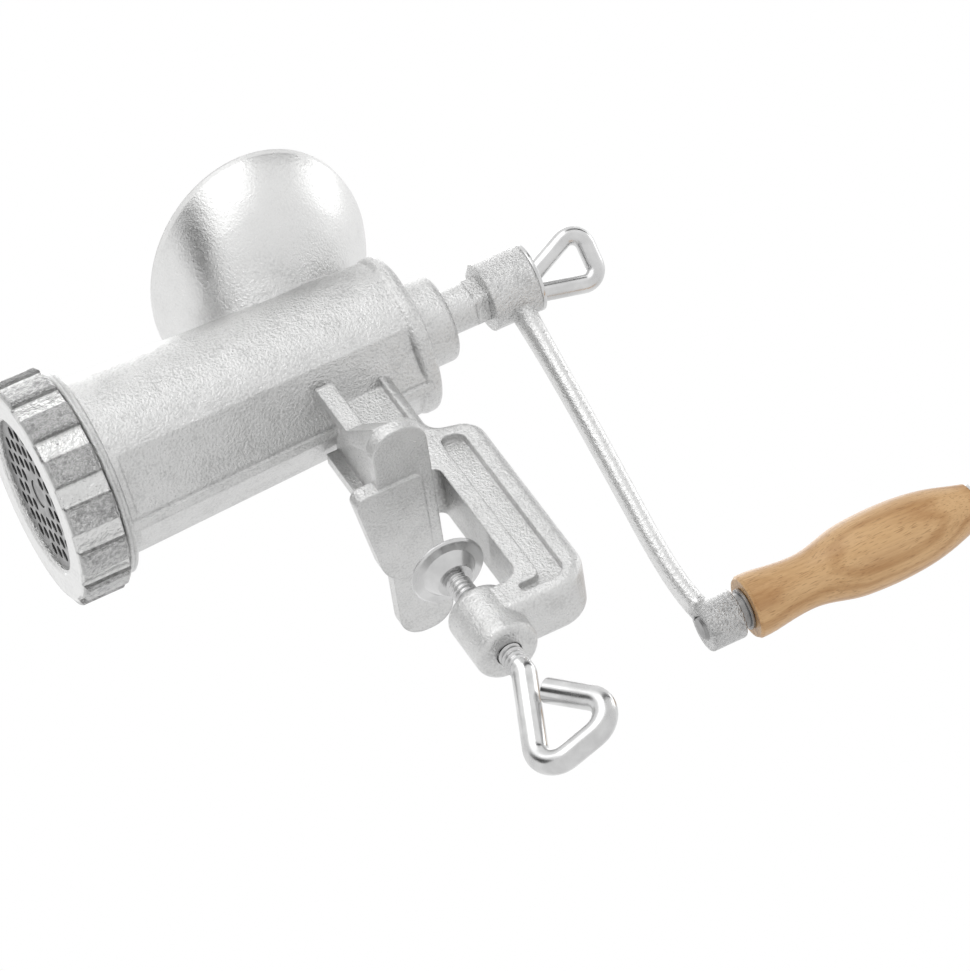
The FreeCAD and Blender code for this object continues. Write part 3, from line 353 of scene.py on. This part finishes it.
def casting_material(name, finish, coarse, grit=1.0, relief=None):
    """Tinned casting; coarse gives a 0 to 1 socket for the rough parts, grit widens the sand grain.

    relief, where given, makes a socket that scales the height of the grain.
    """
    material, tree, shader = new_material(name)
    place = object_place(tree)
    rough_part = coarse(tree, place)
    grain = noise(tree, place, 1.0 / (finish.grain * grit), GRAIN_DETAIL, SAND_ROUGHNESS)
    blotch = noise(tree, place, BLOTCH_SCALE / finish.grain, BLOTCH_DETAIL, SAND_ROUGHNESS)
    sand = combine(tree, "ADD", combine(tree, "MULTIPLY", grain, GRAIN_SHARE),
                   combine(tree, "MULTIPLY", blotch, BLOTCH_SHARE))

    # Painted shade: the grain's hollows and the rough parts are mixed towards the dark colour, which on the
    # rough parts also stands for their duller tin
    hollow = spread(tree, sand, HOLLOW_BAND, (1.0, 0.0))
    hollow_shade = combine(tree, "MULTIPLY", hollow, spread(tree, rough_part, UNIT, HOLLOW_SHADE_SHARES))
    shade = combine(tree, "ADD", hollow_shade, combine(tree, "MULTIPLY", rough_part, ROUGH_SHADE))
    tone = mix_colours(tree, shade, opaque(finish.tin), opaque(finish.dull_and_shade))
    tree.links.new(tone, shader.inputs["Base Color"])

    hollow_gloss = (finish.gloss + HOLLOW_DULLING) / grit
    high_gloss = (finish.gloss - HIGH_POLISH) / grit
    gloss = spread(tree, sand, GLOSS_BAND, (hollow_gloss, high_gloss))
    tree.links.new(gloss, shader.inputs["Roughness"])
    shader.inputs["Metallic"].default_value = 1.0

    full_height = combine(tree, "ADD", grain, combine(tree, "MULTIPLY", blotch, BLOTCH_HEIGHT))
    height = combine(tree, "MULTIPLY", full_height,
                     spread(tree, rough_part, UNIT, (finish.calm, ROUGH_HEIGHT)))
    if relief is not None:
        height = combine(tree, "MULTIPLY", height, relief(tree, place))
    skin = bump(tree, height, finish.depth * grit * grit)
    tree.links.new(soft_edge(tree, finish.edge), skin.inputs["Normal"])
    tree.links.new(skin.outputs["Normal"], shader.inputs["Normal"])
    return material


def body_coarse(tree, place):
    """The barrel and clamp are grainy and take more painted shade, the hopper is smoother."""
    height = axes(tree, place)["Z"]
    hopper = spread(tree, height, HOPPER_HEIGHTS, HOPPER_COARSE)
    clamp = spread(tree, height, CLAMP_HEIGHTS, CLAMP_COARSE)
    return combine(tree, "MULTIPLY", hopper, clamp)


def ring_coarse(tree, place):
    """The ring nut's lobes are rough and take painted shade, its face and valleys are smoother."""
    return spread(tree, axis_radius(tree, place), LOBE_RADII, LOBE_COARSE)


def ring_relief(tree, place):
    """The ring nut's front face is turned, so hardly any grain is left on it."""
    return spread(tree, axes(tree, place)["X"], TURNED_DEPTHS, TURNED_RELIEF)


def crank_coarse(tree, place):
    """The crank's hub and end boss are rough and take painted shade, the arm is smooth."""
    radius = axis_radius(tree, place)
    hub = spread(tree, radius, HUB_RADII, HUB_COARSE)
    boss = spread(tree, radius, BOSS_RADII, BOSS_COARSE)
    return combine(tree, "MAXIMUM", hub, boss)


def steel_material(name, base, gloss, scale, edge):
    """Bright steel with a faint mottle in its tone and gloss."""
    material, tree, shader = new_material(name)
    mottle = noise(tree, object_place(tree), scale, STEEL_DETAIL, STEEL_ROUGHNESS)
    dark = [channel * STEEL_DARKER for channel in base]
    tone = mix_colours(tree, spread(tree, mottle, STEEL_BAND, UNIT), opaque(dark), opaque(base))
    tree.links.new(tone, shader.inputs["Base Color"])
    shine = spread(tree, mottle, GLOSS_BAND, (gloss * STEEL_DULLER, gloss * STEEL_BRIGHTER))
    tree.links.new(shine, shader.inputs["Roughness"])
    shader.inputs["Metallic"].default_value = 1.0
    tree.links.new(soft_edge(tree, edge), shader.inputs["Normal"])
    return material


def grip_noise(tree, figure):
    """Noise drawn out along the grip."""
    squeeze, scale, detail, roughness = figure
    return noise(tree, object_place(tree, (squeeze, 1.0, 1.0)), scale, detail, roughness)


def growth_rings(tree, spacing):
    """Wavy growth rings that lie at a slant across the grip."""
    parts = axes(tree, object_place(tree))
    slant = combine(tree, "ADD", parts["Y"], combine(tree, "MULTIPLY", parts["Z"], RING_SLANT))
    waver = combine(tree, "MULTIPLY", grip_noise(tree, RING_WAVER), RING_WAVER_WIDTH)
    turns = combine(tree, "MULTIPLY", combine(tree, "ADD", slant, waver), math.tau / spacing)
    return spread(tree, combine(tree, "SINE", turns), RING_BAND, UNIT)


def wood_material(name, finish):
    """Turned beech: growth rings across, flecks along the grip, satin varnish."""
    material, tree, shader = new_material(name)
    rings = combine(tree, "MULTIPLY", growth_rings(tree, finish.ring), RING_SHARE)
    clouds = spread(tree, grip_noise(tree, CLOUDS), FIGURE_BAND, CLOUD_SHARES)
    streaks = grip_noise(tree, STREAKS)
    tone = combine(tree, "ADD", combine(tree, "ADD", rings, clouds),
                   spread(tree, streaks, FIGURE_BAND, STREAK_SHARES))
    board = mix_colours(tree, tone, opaque(finish.light), opaque(finish.dark))
    flecks = spread(tree, grip_noise(tree, FLECKS), FLECK_BAND, FLECK_SHARES)
    tree.links.new(mix_colours(tree, flecks, board, opaque(finish.fleck)), shader.inputs["Base Color"])
    shader.inputs["Roughness"].default_value = finish.varnish
    shader.inputs["Specular IOR Level"].default_value = VARNISH_SPECULAR
    tree.links.new(bump(tree, streaks, STREAK_DEPTH).outputs["Normal"], shader.inputs["Normal"])
    return material


def dress(node, material):
    """Give one CAD node a single finish."""
    slots = NODES[node].data.materials
    slots.clear()
    slots.append(material)


class GRINDER_OT_castings(bpy.types.Operator):
    """Tin the body, ring nut, crank and worm"""

    bl_idname = "grinder.castings"
    bl_label = "Tinned castings"

    def execute(self, context):
        finish = context.scene.grinder_casting
        dress("body_casting", casting_material("tinned_body", finish, body_coarse))
        dress("feed_screw", casting_material("tinned_worm", finish, body_coarse))
        dress("ring_nut", casting_material("tinned_ring", finish, ring_coarse, finish.ring_grit, ring_relief))
        dress("crank_arm", casting_material("tinned_crank", finish, crank_coarse, finish.crank_grit))
        return {"FINISHED"}


class GRINDER_OT_steel(bpy.types.Operator):
    """Finish the plated and the ground steel pieces"""

    bl_idname = "grinder.steel"
    bl_label = "Steel pieces"

    def execute(self, context):
        finish = context.scene.grinder_steel
        plated = steel_material("plated_steel", finish.plated, finish.plated_gloss,
                                finish.plated_mottle, finish.edge)
        ground = steel_material("ground_steel", finish.ground, finish.ground_gloss,
                                finish.ground_mottle, finish.edge)
        for node in PLATED_PIECES:
            dress(node, plated)
        for node in GROUND_PIECES:
            dress(node, ground)
        return {"FINISHED"}


class GRINDER_OT_grip(bpy.types.Operator):
    """Varnish the turned beech grip"""

    bl_idname = "grinder.grip"
    bl_label = "Wooden grip"

    def execute(self, context):
        dress("wooden_grip", wood_material("varnished_beech", context.scene.grinder_wood))
        return {"FINISHED"}


def from_view(direction):
    """Direction in the object's frame from one along the camera's axes."""
    right, up, back = direction
    return VIEW_RIGHT * right + VIEW_UP * up + VIEW_BACK * back


def stand_off(piece, direction, distance):
    """Put a lamp or card at a distance from the object's middle, facing it."""
    piece.location = OBJECT_MIDDLE + direction.normalized() * distance
    piece.rotation_euler = direction.to_track_quat("Z", "Y").to_euler()


def add_object(name, data):
    """New object in the scene."""
    piece = bpy.data.objects.new(name, data)
    bpy.context.collection.objects.link(piece)
    return piece


def add_rectangle(name, width, height, level, material):
    """Flat rectangle round its own origin, raised to a level."""
    right = width / 2
    top = height / 2
    corners = [(-right, -top, level), (right, -top, level), (right, top, level), (-right, top, level)]
    mesh = bpy.data.meshes.new(name)
    mesh.from_pydata(corners, [], [(0, 1, 2, 3)])
    mesh.materials.append(material)
    return add_object(name, mesh)


def add_camera(sizes):
    """Camera at the viewing angle, held by its own axes."""
    data = bpy.data.cameras.new("view_camera")
    camera = add_object("view_camera", data)
    place = AIM + VIEW_RIGHT * sizes.across + VIEW_UP * sizes.rise + VIEW_BACK * sizes.distance
    turn = Matrix((VIEW_RIGHT, VIEW_UP, VIEW_BACK)).transposed().to_4x4()
    camera.matrix_world = Matrix.Translation(place) @ turn
    data.sensor_fit = "HORIZONTAL"
    data.sensor_width = sizes.sensor
    data.lens = sizes.focal_pixels / IMAGE_WIDTH * sizes.sensor
    data.clip_start = CLIP_NEAR
    data.clip_end = CLIP_FAR
    bpy.context.scene.camera = camera


def add_lamp(name, direction, distance, side, watts):
    """Square area lamp that looks at the object's middle."""
    data = bpy.data.lights.new(name, "AREA")
    data.shape = "SQUARE"
    data.size = side
    data.energy = watts
    lamp = add_object(name, data)
    stand_off(lamp, direction, distance)
    return lamp


def keep_off(lamp, floor):
    """Stop a lamp from lighting the floor, which the lamp's own square may cross."""
    unlit = bpy.data.collections.new(lamp.name + "_unlit")
    unlit.objects.link(floor)
    unlit.collection_objects[0].light_linking.link_state = "EXCLUDE"
    lamp.light_linking.receiver_collection = unlit


def background_ray(tree, path):
    """One for rays that show the background itself, nought for rays that light the object."""
    mirrored = combine(tree, "MAXIMUM", path["Is Glossy Ray"], path["Is Transmission Ray"])
    return combine(tree, "MAXIMUM", path["Is Camera Ray"], mirrored)


def mix_shaders(tree, factor, first, second):
    """Mix two shaders by a factor."""
    node = add_node(tree, "ShaderNodeMixShader")
    fill_sockets(tree, zip((factor, first, second), node.inputs))
    return node.outputs["Shader"]


def floor_material(sizes):
    """Pale floor that takes shadows near the object, is clear from below and plain white far away."""
    material, tree, shader = new_material("pale_floor")
    shader.inputs["Base Color"].default_value = opaque(sizes.floor_colour)
    shader.inputs["Roughness"].default_value = FLOOR_ROUGHNESS
    shader.inputs["Specular IOR Level"].default_value = FLOOR_SPECULAR
    path = add_node(tree, "ShaderNodeLightPath").outputs
    away = add_node(tree, "ShaderNodeVectorMath", operation="LENGTH")
    tree.links.new(object_place(tree), away.inputs["Vector"])
    white = spread(tree, away.outputs["Value"], (sizes.floor_clear, sizes.floor_fade),
                   (sizes.floor_glow, 1.0))
    glow = add_node(tree, "ShaderNodeEmission", Strength=1.0)
    lit = mix_shaders(tree, combine(tree, "MULTIPLY", background_ray(tree, path), white),
                      shader.outputs["BSDF"], glow.outputs["Emission"])
    side = add_node(tree, "ShaderNodeNewGeometry")
    through = combine(tree, "MAXIMUM", side.outputs["Backfacing"], path["Is Shadow Ray"])
    clear = add_node(tree, "ShaderNodeBsdfTransparent")
    surface = mix_shaders(tree, through, lit, clear.outputs["BSDF"])
    tree.links.new(surface, tree.nodes["Material Output"].inputs["Surface"])
    return material


def add_floor(sizes):
    """Square floor below the clamp handle's travel."""
    level = Vector(CAD_BOX[0]).z - sizes.floor_drop
    floor = add_rectangle("floor", sizes.floor, sizes.floor, level, floor_material(sizes))
    return floor


def add_world(sizes):
    """White background for the camera and for reflections, even grey light otherwise."""
    world = bpy.data.worlds.new("studio")
    world.use_nodes = True
    bpy.context.scene.world = world
    tree = world.node_tree
    light = tree.nodes["Background"]
    light.inputs["Color"].default_value = WHITE
    light.inputs["Strength"].default_value = sizes.ambient
    white = add_node(tree, "ShaderNodeBackground", Color=WHITE, Strength=1.0)
    path = add_node(tree, "ShaderNodeLightPath").outputs
    surface = mix_shaders(tree, background_ray(tree, path), light.outputs["Background"],
                          white.outputs["Background"])
    tree.links.new(surface, tree.nodes["World Output"].inputs["Surface"])


def add_card(name, direction, width, height, tone):
    """Dark card that only reflections see, as a studio uses to shape bright metal."""
    material, _, shader = new_material(name + "_cloth")
    shader.inputs["Base Color"].default_value = (tone, tone, tone, 1.0)
    shader.inputs["Roughness"].default_value = 1.0
    shader.inputs["Specular IOR Level"].default_value = 0.0
    card = add_rectangle(name, width, height, 0.0, material)
    stand_off(card, direction, CARD_DISTANCE)
    card.visible_camera = False
    card.visible_diffuse = False
    card.visible_shadow = False


class GRINDER_OT_stage(bpy.types.Operator):
    """Set the floor, lamps, cards, background and camera"""

    bl_idname = "grinder.stage"
    bl_label = "Stage"

    def execute(self, context):
        sizes = context.scene.grinder_stage
        context.scene.view_settings.view_transform = "Standard"
        add_world(sizes)
        floor = add_floor(sizes)
        add_camera(sizes)
        for name, (direction, distance, side) in VIEW_LAMPS.items():
            lamp = add_lamp(name + "_lamp", from_view(direction), distance, side, getattr(sizes, name))
            keep_off(lamp, floor)
        add_lamp("top_lamp", TOP_DIRECTION, TOP_DISTANCE, TOP_SIDE, sizes.top)
        for name, (direction, width, height, tone) in CARDS.items():
            add_card(name + "_card", from_view(direction), width, height, tone)
        return {"FINISHED"}


class GRINDER_PT_panel(bpy.types.Panel):
    """Sidebar panel that lists the grinder's steps"""

    bl_idname = "GRINDER_PT_panel"
    bl_label = "Meat grinder"
    bl_space_type = "VIEW_3D"
    bl_region_type = "UI"
    bl_category = "Grinder"

    def draw(self, context):
        for operator in OPERATORS:
            self.layout.operator(operator.bl_idname)


GROUPS = {
    "grinder_casting": CastingFinish,
    "grinder_steel": SteelFinish,
    "grinder_wood": WoodFinish,
    "grinder_stage": StageSizes,
}
OPERATORS = (GRINDER_OT_castings, GRINDER_OT_steel, GRINDER_OT_grip, GRINDER_OT_stage)


def register():
    """Register the classes and hang the property groups on the scene."""
    for name, group in GROUPS.items():
        bpy.utils.register_class(group)
        setattr(bpy.types.Scene, name, PointerProperty(type=group))
    for cls in (*OPERATORS, GRINDER_PT_panel):
        bpy.utils.register_class(cls)


def unregister():
    """Take everything that register made away again."""
    for cls in reversed((*OPERATORS, GRINDER_PT_panel)):
        bpy.utils.unregister_class(cls)
    for name, group in reversed(GROUPS.items()):
        delattr(bpy.types.Scene, name)
        bpy.utils.unregister_class(group)


def main():
    """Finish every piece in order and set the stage."""
    register()
    bpy.ops.grinder.castings()
    bpy.ops.grinder.steel()
    bpy.ops.grinder.grip()
    bpy.ops.grinder.stage()


if __name__ == "__main__":
    main()
